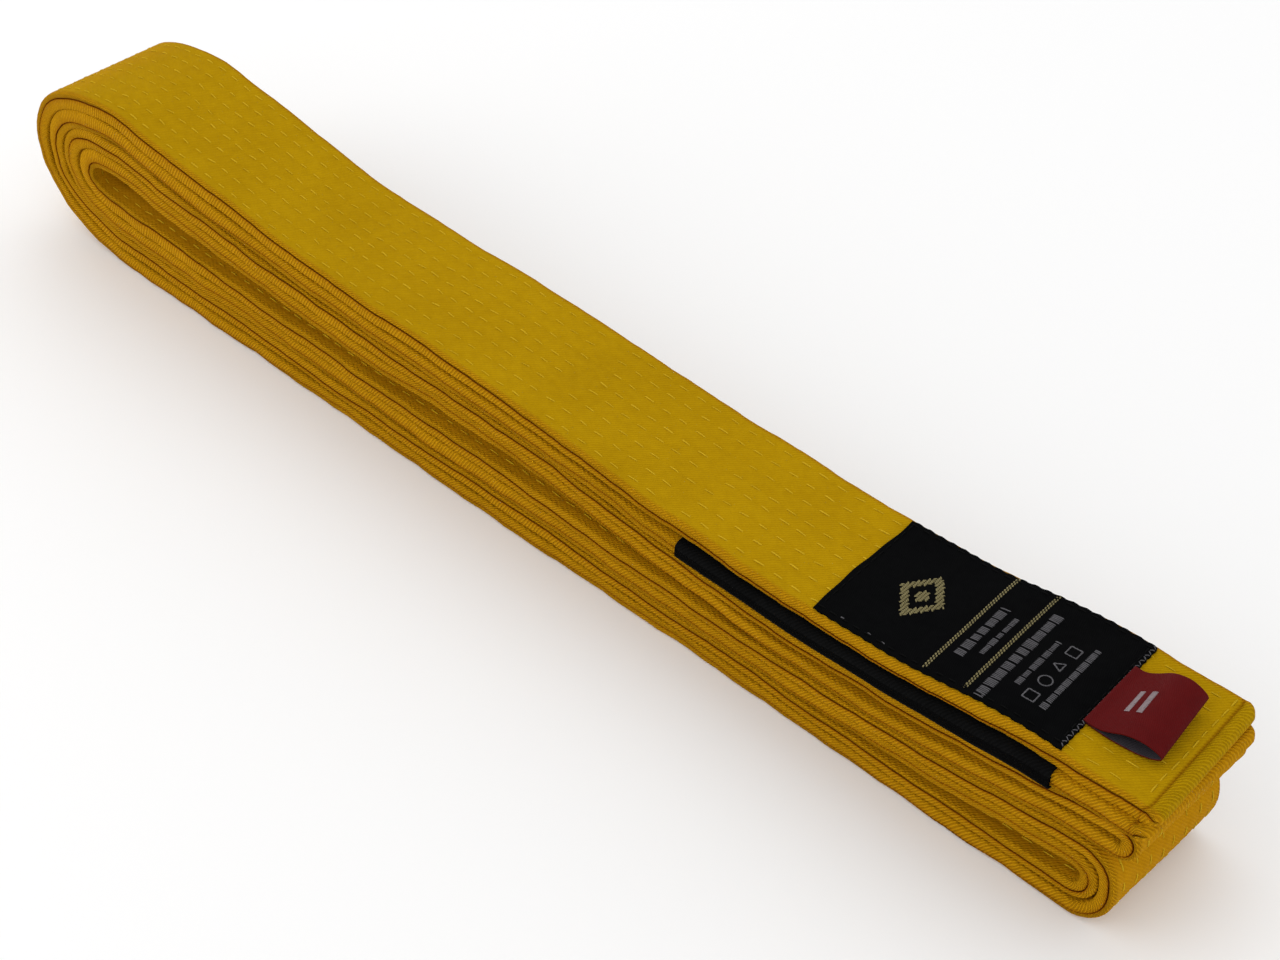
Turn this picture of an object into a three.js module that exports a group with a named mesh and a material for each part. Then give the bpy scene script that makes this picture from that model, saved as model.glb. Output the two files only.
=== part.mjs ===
// Martial arts belt, folded in half three times into a flat bundle of eight runs.
// Millimetres, +Z up. X runs along the bundle with both free ends at +X, Y runs across the belt.
// Runs are numbered from the top: 1 ends in the upper end, 2 in the lower end, 8 lies on the floor.
import * as THREE from 'three';

// Driving dimensions
const bundleLength = 372;
const beltWidth = 38;
const beltThickness = 3.8;
const coverWall = 0.45;
const edgeBevel = 0.5;
const runCount = 8;
const plyCount = 2;
const plyGap = 0.2;
const rowsPerHalf = 4;
const stitchRowInset = 3.3;
const middleRowSpacing = 3.7;
const threadSize = 0.3;
const seamSlit = 0.8;
const seamHeight = 0.55;
const seatGap = 0.3;

// How loosely the runs lie on each other, and how far the folds stand open
const gapAtLeft = 1.9;
const gapAtWaist = 0.4;
const gapAtRight = 1.1;
const leftOpening = 10.5;
const leftOpeningMiddle = 6.4;
const leftOpeningWaist = 3.5;
const turnOpening = 3.6;
const innerLoopOpening = 6.2;
const turnDepth = 133;
const innerLoopDepth = 93;

// Fold noses: where each one is furthest out, and where it meets its straight runs
const leftNoseSpacing = 7.2;
const leftNoseLength = 43;
const leftNoseLengthStep = 10.4;
const rightNoseLength = 9;
const turnSetBack = 1.5;
const loopSetBack = 3.4;
const innerLoopGapAtNose = 0.8;
const noseFullness = 2.3;
const leftNoseSteps = 10;
const rightNoseSteps = 8;
const runSteps = 11;

// Free ends
const upperEndSetBack = 2.5;
const bendGap = 0.3;
const bendToBar = 19;
const bendSpacing = 26;
const barLength = 100;
const barSetBack = 23;
const barWall = 0.5;
const barRoom = 0.85;
const barSlit = 0.8;
const labelLength = 62;
const labelEdge = 1;
const labelThickness = 0.5;
const labelThreadInset = 1.2;
const hemSetBack = 3;
const hemSpacing = 2.3;
const hemInset = 2.5;

// Size tag, a satin strip folded into a loop and sewn in at the label's edge
const tagWidth = 19;
const tagThickness = 0.35;
const tagLength = 17.3;
const tagBulge = 5.4;
const tagToTip = 4.2;
const tagSideways = -0.6;
const tagSteps = 22;

const cottonColour = 0xab8808;
const coreColour = 0xe6dcc0;
const threadColour = 0xbe981a;
const blackColour = 0x0c0c0e;
const redColour = 0x5a090c;

const halfWidth = beltWidth / 2;
const halfThickness = beltThickness / 2;
const innerHalfWidth = halfWidth - coverWall;
const innerHalfThickness = halfThickness - coverWall;
const barEnd = bundleLength - barSetBack;
const barStart = barEnd - barLength;
const bendLineAt = barStart - bendToBar;
const upperBendLineAt = bendLineAt + bendSpacing;

// Height at x of a line of points that goes one way along x
function heightAt(points, x) {
  const at = points.findIndex((point, i) => i > 0 && (point.x - x) * (points[i - 1].x - x) <= 0);
  const share = (x - points[at - 1].x) / (points[at].x - points[at - 1].x);
  return points[at - 1].y + (points[at].y - points[at - 1].y) * share;
}

// A smooth value along the bundle, through [x, value] pairs
function profile(pairs) {
  const curve = new THREE.SplineCurve(pairs.map(([x, value]) => new THREE.Vector2(x, value)));
  const fine = curve.getPoints(pairs.length * 16);
  return (x) => {
    const inside = THREE.MathUtils.clamp(x, fine[0].x, fine[fine.length - 1].x);
    return heightAt(fine, inside);
  };
}

const leftEnd = leftNoseLength + halfThickness;
const rightEnd = bundleLength - loopSetBack - halfThickness - rightNoseLength;
const innerNoseLength = leftNoseLength - 3 * leftNoseLengthStep;
const firstStation = 3 * leftNoseSpacing + innerNoseLength + halfThickness;

// The stack is lowest at its waist, where the black bar starts
const waistAt = barStart;
const toWaist = (share) => THREE.MathUtils.lerp(leftEnd, waistAt, share);
const toRight = (share) => THREE.MathUtils.lerp(waistAt, rightEnd, share);
const runGap = profile([
  [leftEnd, gapAtLeft],
  [toWaist(0.2), gapAtLeft],
  [toWaist(0.6), (gapAtLeft + gapAtWaist) / 2],
  [waistAt, gapAtWaist],
  [toRight(0.5), gapAtWaist],
  [rightEnd, gapAtRight],
]);
const leftGap = profile([
  [leftEnd, leftOpening],
  [toWaist(0.35), leftOpeningMiddle],
  [toWaist(0.7), leftOpeningMiddle],
  [waistAt, leftOpeningWaist],
  [toRight(0.5), gapAtWaist],
  [rightEnd, gapAtRight],
]);
const turnGap = profile([
  [bundleLength - turnDepth, 0],
  [toRight(0.5), turnOpening - gapAtRight],
  [rightEnd, turnOpening - gapAtRight],
]);
const innerLoopGap = profile([
  [bundleLength - innerLoopDepth, 0],
  [bundleLength - innerLoopDepth / 2, (innerLoopOpening - gapAtRight) / 2],
  [rightEnd, innerLoopOpening - gapAtRight],
]);
const barGap = profile([
  [bendLineAt - bendToBar, 0],
  [(bendLineAt + barStart) / 2, barRoom],
  [bundleLength, barRoom],
]);

// Clear space under run 1 to run 7 at x
function spaceUnder(run, x) {
  const openings = { 1: barGap, 2: barGap, 3: turnGap, 6: innerLoopGap };
  if (run === 4) {
    return leftGap(x);
  }
  return runGap(x) + (openings[run] ? openings[run](x) : 0);
}

// Middle of each run at the stations that all runs share, so that neighbours keep their gap
const stations = Array.from(
  { length: runSteps + 1 },
  (_, i) => THREE.MathUtils.lerp(firstStation, bundleLength, i / runSteps),
);
const runLines = { [runCount]: stations.map((x) => new THREE.Vector2(x, halfThickness)) };
for (let run = runCount - 1; run > 0; run--) {
  runLines[run] = runLines[run + 1].map(
    ({ x, y }) => new THREE.Vector2(x, y + beltThickness + spaceUnder(run, x)),
  );
}

// The piece of a line of points between two x values, going from one to the other
function cutPoints(points, from, to) {
  const within = points.filter((point) => (point.x - from) * (point.x - to) < 0);
  within.sort((a, b) => Math.sign(to - from) * (a.x - b.x));
  const ends = [from, to].map((x) => new THREE.Vector2(x, heightAt(points, x)));
  return [ends[0], ...within, ends[1]];
}

// Points of one run; the bottom run is straight and needs none between its ends
function runPoints(run, from, to) {
  const points = cutPoints(runLines[run], from, to);
  return run === runCount ? [points[0], points[points.length - 1]] : points;
}

// Rounded fold from one run to another, without its two end points
function nosePoints(fromRun, toRun, startX, reach, steps) {
  const start = heightAt(runLines[fromRun], startX);
  const end = heightAt(runLines[toRun], startX);
  const power = 2 / noseFullness;
  const points = [];
  for (let i = 1; i < steps; i++) {
    const angle = (Math.PI * i) / steps;
    const along = Math.sin(angle) ** power;
    const across = Math.sign(Math.cos(angle)) * Math.abs(Math.cos(angle)) ** power;
    points.push(new THREE.Vector2(startX + reach * along, (start + end) / 2 + ((start - end) / 2) * across));
  }
  return points;
}

// Left folds are numbered from the outermost; fold n joins run n + 1 with run 8 - n
function leftFold(order, fromRun, toRun) {
  const reach = leftNoseLength - leftNoseLengthStep * order;
  const start = halfThickness + leftNoseSpacing * order + reach;
  return { start, points: nosePoints(fromRun, toRun, start, -reach, leftNoseSteps) };
}

const outerFold = leftFold(0, 1, 8);
const secondFold = leftFold(1, 7, 2);
const thirdFold = leftFold(2, 3, 6);
const innerFold = leftFold(3, 5, 4);
const outerLoop = nosePoints(8, 5, rightEnd, rightNoseLength, rightNoseSteps);
const innerLoopReach = rightNoseLength - beltThickness - innerLoopGapAtNose;
const innerLoop = nosePoints(6, 7, rightEnd, innerLoopReach, rightNoseSteps);
const turnReach = (beltThickness + turnOpening) / 2;
const turnStart = bundleLength - turnSetBack - halfThickness - turnReach;
const middleTurn = nosePoints(4, 3, turnStart, turnReach, rightNoseSteps);

// The folded strip in one direction, from the bend line of run 1 to the bend line of run 2
const foldedPoints = [
  ...runPoints(1, bendLineAt - bendGap / 2, outerFold.start),
  ...outerFold.points,
  ...runPoints(8, outerFold.start, rightEnd),
  ...outerLoop,
  ...runPoints(5, rightEnd, innerFold.start),
  ...innerFold.points,
  ...runPoints(4, innerFold.start, turnStart),
  ...middleTurn,
  ...runPoints(3, turnStart, thirdFold.start),
  ...thirdFold.points,
  ...runPoints(6, thirdFold.start, rightEnd),
  ...innerLoop,
  ...runPoints(7, rightEnd, secondFold.start),
  ...secondFold.points,
  ...runPoints(2, secondFold.start, bendLineAt - bendGap / 2),
];
const upperTip = bundleLength - upperEndSetBack;
const upperPoints = runPoints(1, upperTip, upperBendLineAt + bendGap / 2);
const bridgePoints = runPoints(1, upperBendLineAt - bendGap / 2, bendLineAt + bendGap / 2);
const lowerPoints = runPoints(2, bendLineAt + bendGap / 2, bundleLength);

// A flat strip's route in the XZ plane, stepped only at its own points. Section x runs across
// the belt and section y points out of its label face.
class StripRoute extends THREE.Curve {
  constructor(points) {
    super();
    this.stations = points.map((point) => new THREE.Vector3(point.x - bundleLength / 2, 0, point.y));
  }

  getSpacedPoints() {
    return this.stations;
  }

  computeFrenetFrames() {
    const last = this.stations.length - 1;
    const across = new THREE.Vector3(0, -1, 0);
    const tangents = this.stations.map((_, i) => {
      const back = this.stations[i].clone().sub(this.stations[Math.max(i - 1, 0)]).normalize();
      const ahead = this.stations[Math.min(i + 1, last)].clone().sub(this.stations[i]).normalize();
      return back.add(ahead).normalize();
    });
    const normals = tangents.map(() => across);
    const binormals = tangents.map((tangent) => tangent.clone().cross(across));
    return { tangents, normals, binormals };
  }
}

function shapeOf(pairs) {
  return new THREE.Shape(pairs.map(([x, y]) => new THREE.Vector2(x, y)));
}

function boxShape(left, right, bottom, top) {
  return shapeOf([[left, bottom], [right, bottom], [right, top], [left, top]]);
}

function threadShape(x, y) {
  const half = threadSize / 2;
  return boxShape(x - half, x + half, y - half, y + half);
}

function sweep(shape, points) {
  const settings = { steps: points.length - 1, extrudePath: new StripRoute(points) };
  return new THREE.ExtrudeGeometry(shape, settings);
}

// Cover cloth: a flat tube whose edges meet at a slit along one side
const slitTop = seamHeight + seamSlit / 2;
const slitBottom = seamHeight - seamSlit / 2;
const coverShape = shapeOf([
  [halfWidth, slitTop],
  [halfWidth, halfThickness - edgeBevel],
  [halfWidth - edgeBevel, halfThickness],
  [edgeBevel - halfWidth, halfThickness],
  [-halfWidth, halfThickness - edgeBevel],
  [-halfWidth, edgeBevel - halfThickness],
  [edgeBevel - halfWidth, -halfThickness],
  [halfWidth - edgeBevel, -halfThickness],
  [halfWidth, edgeBevel - halfThickness],
  [halfWidth, slitBottom],
  [innerHalfWidth, slitBottom],
  [innerHalfWidth, -innerHalfThickness],
  [-innerHalfWidth, -innerHalfThickness],
  [-innerHalfWidth, innerHalfThickness],
  [innerHalfWidth, innerHalfThickness],
  [innerHalfWidth, slitTop],
]);
const plyRoom = 2 * innerHalfThickness - threadSize - plyGap * (plyCount + 2);
const plyThickness = plyRoom / plyCount;
const outerRow = halfWidth - stitchRowInset;
const middleRow = middleRowSpacing / 2;
const halfRows = Array.from(
  { length: rowsPerHalf },
  (_, i) => THREE.MathUtils.lerp(outerRow, middleRow, i / (rowsPerHalf - 1)),
);
const stitchRows = [...halfRows, ...halfRows.map((x) => -x).reverse()];
const rowHeight = innerHalfThickness - plyGap - threadSize / 2;
const topPlyHeight = rowHeight - threadSize / 2 - plyGap;
const plyHalfWidth = innerHalfWidth - plyGap;

// Black bar: a sleeve wrapped round the lower end, its edges meeting on the far side
const barInnerX = halfWidth + seatGap;
const barInnerY = halfThickness + seatGap;
const barShape = shapeOf([
  [-barInnerX - barWall, barSlit / 2],
  [-barInnerX, barSlit / 2],
  [-barInnerX, barInnerY],
  [barInnerX, barInnerY],
  [barInnerX, -barInnerY],
  [-barInnerX, -barInnerY],
  [-barInnerX, -barSlit / 2],
  [-barInnerX - barWall, -barSlit / 2],
  [-barInnerX - barWall, -barInnerY - barWall],
  [barInnerX + barWall, -barInnerY - barWall],
  [barInnerX + barWall, barInnerY + barWall],
  [-barInnerX - barWall, barInnerY + barWall],
]);

const belt = new THREE.Group();

function addPiece(name, geometry, color, roughness = 0.9) {
  const material = new THREE.MeshStandardMaterial({ color, roughness, metalness: 0 });
  const piece = new THREE.Mesh(geometry, material);
  piece.name = name;
  belt.add(piece);
}

// The bridge is the short stretch of run 1 between the lower end's bend line and its own
const stretches = [
  ['folded', foldedPoints],
  ['bridge', bridgePoints],
  ['upper_end', upperPoints],
  ['lower_end', lowerPoints],
];
for (const [stretch, points] of stretches) {
  addPiece(`cover_${stretch}`, sweep(coverShape, points), cottonColour);
  for (let ply = 0; ply < plyCount; ply++) {
    const top = topPlyHeight - ply * (plyThickness + plyGap);
    const plyShape = boxShape(-plyHalfWidth, plyHalfWidth, top - plyThickness, top);
    addPiece(`core_ply_${ply + 1}_${stretch}`, sweep(plyShape, points), coreColour);
  }
  stitchRows.forEach((x, row) => {
    addPiece(`stitch_row_${row + 1}_${stretch}`, sweep(threadShape(x, rowHeight), points), threadColour);
  });
  const seamThread = threadShape(halfWidth - coverWall / 2, seamHeight);
  addPiece(`edge_seam_thread_${stretch}`, sweep(seamThread, points), threadColour);
}

addPiece('rank_bar', sweep(barShape, cutPoints(lowerPoints, barStart, barEnd)), blackColour);

// Label and the thread that frames it, on the upper end's top face
const labelEnd = upperTip - tagToTip - tagLength;
const labelStart = labelEnd - labelLength;
const labelWidth = beltWidth - 2 * labelEdge;
const labelBottom = halfThickness + seatGap;
const labelTop = labelBottom + labelThickness;
const labelShape = boxShape(-labelWidth / 2, labelWidth / 2, labelBottom, labelTop);
addPiece('label', sweep(labelShape, cutPoints(upperPoints, labelEnd, labelStart)), blackColour, 0.7);
const labelThreadY = labelTop + plyGap + threadSize / 2;
const labelThreadX = labelWidth / 2 - labelThreadInset;
const threadStart = labelStart + labelThreadInset;
const threadEnd = labelEnd - labelThreadInset;
for (const [side, x] of [['near', labelThreadX], ['far', -labelThreadX]]) {
  const points = cutPoints(upperPoints, threadEnd, threadStart);
  addPiece(`label_thread_${side}`, sweep(threadShape(x, labelThreadY), points), blackColour);
}
const crossHalf = labelThreadX - threadSize;
const crossBottom = labelThreadY - threadSize / 2;
const crossShape = boxShape(-crossHalf, crossHalf, crossBottom, crossBottom + threadSize);
for (const [side, x] of [['left', threadStart], ['right', threadEnd]]) {
  const points = cutPoints(upperPoints, x + threadSize / 2, x - threadSize / 2);
  addPiece(`label_thread_${side}`, sweep(crossShape, points), blackColour);
}

// Two lines of hem stitching across each free end
const hemY = halfThickness + plyGap + threadSize / 2;
const hemHalf = halfWidth - hemInset;
for (const line of [1, 2]) {
  const setBack = hemSetBack + hemSpacing * (line - 1);
  const top = boxShape(-hemHalf, hemHalf, hemY - threadSize / 2, hemY + threadSize / 2);
  const upperX = upperTip - setBack;
  const upper = cutPoints(upperPoints, upperX + threadSize / 2, upperX - threadSize / 2);
  addPiece(`hem_thread_${line}_upper_end`, sweep(top, upper), threadColour);
  const under = boxShape(-hemHalf, hemHalf, -hemY - threadSize / 2, -hemY + threadSize / 2);
  const lowerX = bundleLength - setBack;
  const lower = cutPoints(lowerPoints, lowerX - threadSize / 2, lowerX + threadSize / 2);
  addPiece(`hem_thread_${line}_lower_end`, sweep(under, lower), threadColour);
}

// The size tag's loop lies on the slope of the upper end and rises to its crease over the hem
const tagStart = labelEnd + seatGap;
const tagBase = halfThickness + seatGap + tagThickness / 2;
const tagOutline = [
  [0, 0],
  [tagLength * 0.4, 0],
  [tagLength * 0.7, tagBulge * 0.07],
  [tagLength * 0.88, tagBulge * 0.3],
  [tagLength - seatGap, tagBulge * 0.62],
  [tagLength * 0.9, tagBulge * 0.84],
  [tagLength * 0.7, tagBulge],
  [tagLength * 0.46, tagBulge * 0.8],
  [tagLength * 0.25, tagBulge * 0.36],
  [tagLength * 0.1, tagThickness + seatGap],
  [0, tagThickness + seatGap],
];
const tagCurve = new THREE.SplineCurve(tagOutline.map(([x, y]) => new THREE.Vector2(x, y)));
const tagPoints = tagCurve.getPoints(tagSteps).map((point) => {
  const x = tagStart + point.x;
  return new THREE.Vector2(x, heightAt(upperPoints, x) + tagBase + point.y);
});
const tagHalf = tagWidth / 2;
const tagShape = boxShape(tagSideways - tagHalf, tagSideways + tagHalf, -tagThickness / 2, tagThickness / 2);
addPiece('size_tag', sweep(tagShape, tagPoints), redColour, 0.4);

export default belt;
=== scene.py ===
import math
import bmesh
import bpy
import numpy as np
from mathutils import Matrix, Vector


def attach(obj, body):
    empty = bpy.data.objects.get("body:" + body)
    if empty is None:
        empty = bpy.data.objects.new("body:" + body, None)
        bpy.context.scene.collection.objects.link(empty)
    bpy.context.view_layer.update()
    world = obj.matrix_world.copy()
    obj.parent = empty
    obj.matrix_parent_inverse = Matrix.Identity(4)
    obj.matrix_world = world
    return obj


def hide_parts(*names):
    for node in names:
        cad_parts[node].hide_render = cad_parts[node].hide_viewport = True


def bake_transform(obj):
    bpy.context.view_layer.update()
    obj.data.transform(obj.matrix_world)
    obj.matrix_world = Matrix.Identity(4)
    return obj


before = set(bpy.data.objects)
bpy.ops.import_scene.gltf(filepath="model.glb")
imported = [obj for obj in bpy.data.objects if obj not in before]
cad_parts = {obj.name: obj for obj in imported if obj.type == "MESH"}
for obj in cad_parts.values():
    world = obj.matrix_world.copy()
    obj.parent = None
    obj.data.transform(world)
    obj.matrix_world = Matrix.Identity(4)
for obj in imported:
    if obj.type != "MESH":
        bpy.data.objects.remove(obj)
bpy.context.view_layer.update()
bpy.ops.object.select_all(action="DESELECT")
print("frame loaded")

# The belt's route in millimetres: x from the folded end to the free ends, z up from the floor
route = {
    "bundle": 372.0, "width": 38.0, "thickness": 3.8,
    "gapWaist": 0.4, "gapRight": 1.1, "openWaist": 2.4,
    "turnOpening": 3.6, "turnDepth": 133.0, "turnClosing": 1.3,
    "loopOpening": 6.2, "loopDepth": 93.0,
    "noseLength": 43.0, "noseStep": 10.4, "noseSpacing": 7.2, "fullness": 2.3,
    "loopLength": 9.0, "loopSetBack": 3.4, "loopGap": 0.8, "turnSetBack": 1.5,
    "bendLine": 230.0, "barStart": 249.0, "barEnd": 349.0, "barRoom": 0.85, "upperTip": 371.5,
    "leanLength": 75.0, "leanShare": 0.11, "leanHeight": 22.0, "softReach": 12, "softWidth": 3.0,
    "skewStart": 325.0, "skewLength": 45.0, "skewShare": 0.07, "stackHeight": 45.0,
}
halfThick = route["thickness"] / 2
leftEnd = route["noseLength"] + halfThick
rightEnd = route["bundle"] - route["loopSetBack"] - halfThick - route["loopLength"]
waist = route["barStart"]


def unit(value):
    return np.clip(value, 0, 1)


def smoothValue(pairs):
    xs, ys = (np.array(column, float) for column in zip(*pairs))
    slopes = np.gradient(ys, xs)

    def value(x):
        x = np.clip(x, xs[0], xs[-1])
        i = np.clip(np.searchsorted(xs, x, side="right") - 1, 0, len(xs) - 2)
        gap = xs[i + 1] - xs[i]
        t = (x - xs[i]) / gap
        start = (2 * t**3 - 3 * t**2 + 1) * ys[i] + (t**3 - 2 * t**2 + t) * gap * slopes[i]
        end = (3 * t**2 - 2 * t**3) * ys[i + 1] + (t**3 - t**2) * gap * slopes[i + 1]
        return start + end

    return value


halfway = waist + (rightEnd - waist) * 0.5

# Room between the four upper runs, between the four lower ones, and between the two halves
upperGap = smoothValue([
    (leftEnd, 2.4), (60, 2.2), (80, 2.0), (102, 1.65), (137, 1.4), (172, 1.15), (208, 0.85),
    (waist, route["gapWaist"]), (halfway, route["gapWaist"]), (rightEnd, route["gapRight"]),
])
lowerGap = smoothValue([
    (leftEnd, 2.4), (60, 2.3), (80, 2.0), (102, 1.6), (137, 1.5), (172, 1.35), (208, 1.35),
    (waist, 0.8), (halfway, 0.5), (rightEnd, route["gapRight"]),
])
openBetween = smoothValue([
    (leftEnd, 10.6), (60, 8.6), (80, 7.0), (102, 5.9), (137, 4.9), (172, 5.8), (208, 5.0),
    (225, 3.9), (waist, route["openWaist"]),
    (halfway, route["gapWaist"]), (rightEnd, route["gapRight"]),
])
# How much higher the near edge of the top run lies than its middle
nearRise = smoothValue([(70, 0.0), (100, 1.2), (137, 0.9), (172, 0.7), (215, 0.6), (245, 0.0)])
# Extra room inside the turn, inside the inner loop and round the rank bar
turnExtra = route["turnOpening"] - route["gapRight"]
turnRoom = smoothValue([
    (route["bundle"] - route["turnDepth"], 0), (halfway, turnExtra),
    (route["barEnd"] - 40, turnExtra), (rightEnd, turnExtra - route["turnClosing"]),
])
loopExtra = route["loopOpening"] - route["gapRight"]
loopRoom = smoothValue([
    (route["bundle"] - route["loopDepth"], 0),
    (route["bundle"] - route["loopDepth"] / 2, loopExtra / 2), (rightEnd, loopExtra),
])
barRoom = smoothValue([
    (route["bendLine"] - 19, 0), ((route["bendLine"] + waist) / 2, route["barRoom"]),
    (route["barEnd"] - 40, route["barRoom"]), (route["barEnd"] - 8, route["barRoom"] - 0.25),
    (route["barEnd"] + 6, -0.55), (route["bundle"], -0.75),
])


def heightOf(run, x):
    x = np.asarray(x, float)
    height = np.full_like(x, halfThick)
    for below in range(7, run - 1, -1):
        gap = openBetween(x) if below == 4 else upperGap(x) if below < 4 else lowerGap(x)
        extra = {1: barRoom, 2: barRoom, 3: turnRoom, 6: loopRoom}.get(below)
        height = height + route["thickness"] + gap + (extra(x) if extra else 0)
    return height


def runLine(run, fromX, toX):
    x = np.linspace(fromX, toX, int(abs(toX - fromX)) + 2)
    return np.column_stack([x, heightOf(run, x)])


def noseLine(fromRun, toRun, startX, reach, steps=48):
    angle = np.pi * np.arange(1, steps) / steps
    power = 2 / route["fullness"]
    start, end = heightOf(fromRun, startX), heightOf(toRun, startX)
    x = startX + reach * np.sin(angle) ** power
    bow = np.sign(np.cos(angle)) * np.abs(np.cos(angle)) ** power
    return np.column_stack([x, (start + end) / 2 + (start - end) / 2 * bow])


def foldStart(order):
    deepest = halfThick + route["noseSpacing"] * order
    return deepest + route["noseLength"] - route["noseStep"] * order


def foldReach(order):
    return route["noseLength"] - route["noseStep"] * order


turnReach = (route["thickness"] + route["turnOpening"] - route["turnClosing"]) / 2
turnStart = route["bundle"] - route["turnSetBack"] - halfThick - turnReach
loopReach = route["loopLength"] - route["thickness"] - route["loopGap"]
stretches = [
    ("run1", runLine(1, route["upperTip"], foldStart(0))),
    ("fold", noseLine(1, 8, foldStart(0), -foldReach(0))),
    ("run8", runLine(8, foldStart(0), rightEnd)),
    ("fold", noseLine(8, 5, rightEnd, route["loopLength"])),
    ("run5", runLine(5, rightEnd, foldStart(3))),
    ("fold", noseLine(5, 4, foldStart(3), -foldReach(3))),
    ("run4", runLine(4, foldStart(3), turnStart)),
    ("fold", noseLine(4, 3, turnStart, turnReach)),
    ("run3", runLine(3, turnStart, foldStart(2))),
    ("fold", noseLine(3, 6, foldStart(2), -foldReach(2))),
    ("run6", runLine(6, foldStart(2), rightEnd)),
    ("fold", noseLine(6, 7, rightEnd, loopReach)),
    ("run7", runLine(7, rightEnd, foldStart(1))),
    ("fold", noseLine(7, 2, foldStart(1), -foldReach(1))),
    ("run2", runLine(2, foldStart(1), route["bundle"])),
]


def lengthsOf(line):
    steps = np.linalg.norm(np.diff(line, axis=0), axis=1)
    return np.concatenate([[0], np.cumsum(steps)])


def softKernel(reach, width):
    kernel = np.exp(-0.5 * (np.arange(-reach, reach + 1) / width) ** 2)
    return kernel / kernel.sum()


# One line of points from the label's tip to the bar's tip, evenly spaced and slightly softened
rough = np.concatenate([line for _, line in stretches])
roughArc = lengthsOf(rough)
marks, spans = {}, []
count = 0
for name, line in stretches:
    spans.append((roughArc[count], roughArc[count + len(line) - 1]))
    if name != "fold":
        marks[name] = spans[-1]
    count += len(line)
beltLength = roughArc[-1]
arcs = np.linspace(0, beltLength, int(beltLength * 2))
even = np.column_stack([np.interp(arcs, roughArc, rough[:, k]) for k in range(2)])
leaning = unit((route["leanLength"] - even[:, 0]) / route["leanLength"]) ** 1.5
even[:, 0] += leaning * route["leanShare"] * (even[:, 1] - route["leanHeight"])
reachOut = route["softReach"]
kernel = softKernel(reachOut, route["softWidth"])
padded = np.concatenate([
    2 * even[0] - even[reachOut:0:-1], even, 2 * even[-1] - even[-2:-reachOut - 2:-1],
])
centre = np.column_stack([np.convolve(padded[:, k], kernel, mode="valid") for k in range(2)])
forward = np.gradient(centre, arcs, axis=0)
forward /= np.linalg.norm(forward, axis=1)[:, None]
outward = np.column_stack([forward[:, 1], -forward[:, 0]])
turning = np.abs(np.gradient(np.unwrap(np.arctan2(forward[:, 1], forward[:, 0])), arcs))
print("belt length mm", round(float(beltLength), 1))


def arcAt(run, x):
    low, high = marks[run]
    inside = (arcs >= low) & (arcs <= high)
    place, along = centre[inside, 0], arcs[inside]
    order = np.argsort(place)
    return float(np.interp(x, place[order], along[order]))


def ripple(seed, along, waves):
    rng = np.random.default_rng(seed)
    total = np.zeros_like(np.asarray(along, float))
    for wavelength, size in waves:
        total = total + size * np.sin(2 * np.pi * along / wavelength + rng.uniform(0, 2 * np.pi))
    return total


# How far the layers lie towards the near side, and each run's own small share of it
commonLay = smoothValue([
    (5, 0.5), (60, 0.9), (105, 0.5), (160, 0.9), (220, 0.8), (260, 0.2), (310, 0.3), (365, 0.0),
])
laying = {
    "run1": (0.0, 0.0), "run8": (0.25, 0.1), "run5": (0.15, 0.2), "run4": (-0.1, 0.1),
    "run3": (0.1, 0.2), "run6": (0.0, 0.0), "run7": (-0.1, 0.0), "run2": (-0.15, 1.2),
}
layMargin = 15
layPoints = []
for name, (low, high) in marks.items():
    atLow, atHigh = laying[name][::-1] if name in ("run1", "run5", "run3", "run7") else laying[name]
    layPoints += [(low + layMargin, atLow), (high - layMargin, atHigh)]
layOffset = smoothValue(sorted(layPoints))
edgeWaves = [(170, 0.1), (83, 0.1), (41, 0.07), (23, 0.05)]


def asideAt(along):
    common = commonLay(np.interp(along, arcs, centre[:, 0]))
    return common + layOffset(along) + ripple(3, along, edgeWaves)


# Layers swell to fill the room between them: the label face and the back, in millimetres
swelling = {
    "leftFold": 1.25, "rightFold": 0.28, "outerFold": 0.3, "innerLoop": 0.1, "air": 0.3,
    "reach": 40, "width": 14.0,
}


def swellOf(stretch, order):
    low, high = spans[order]
    inside = (arcs >= low) & (arcs <= high)
    if stretch == "fold":
        atLeft = centre[inside, 0].mean() < waist
        back = swelling["leftFold" if atLeft else "rightFold"]
        face = {1: swelling["outerFold"], 3: swelling["innerLoop"]}.get(order, back)
        return inside, face, back
    gap = lowerGap if stretch in ("run5", "run6", "run7", "run8") else upperGap
    room = np.clip((gap(centre[inside, 0]) - swelling["air"]) / 2, 0, None)
    return inside, room * (stretch != "run8"), room


facePuff, backPuff = np.zeros_like(arcs), np.zeros_like(arcs)
for order, (stretch, _) in enumerate(stretches):
    inside, face, back = swellOf(stretch, order)
    facePuff[inside], backPuff[inside] = face, back
reach = swelling["reach"]
kernel = softKernel(reach, swelling["width"])
facePuff, backPuff = (
    np.convolve(np.pad(puff, reach, mode="edge"), kernel, mode="valid")
    for puff in (facePuff, backPuff)
)


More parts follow.
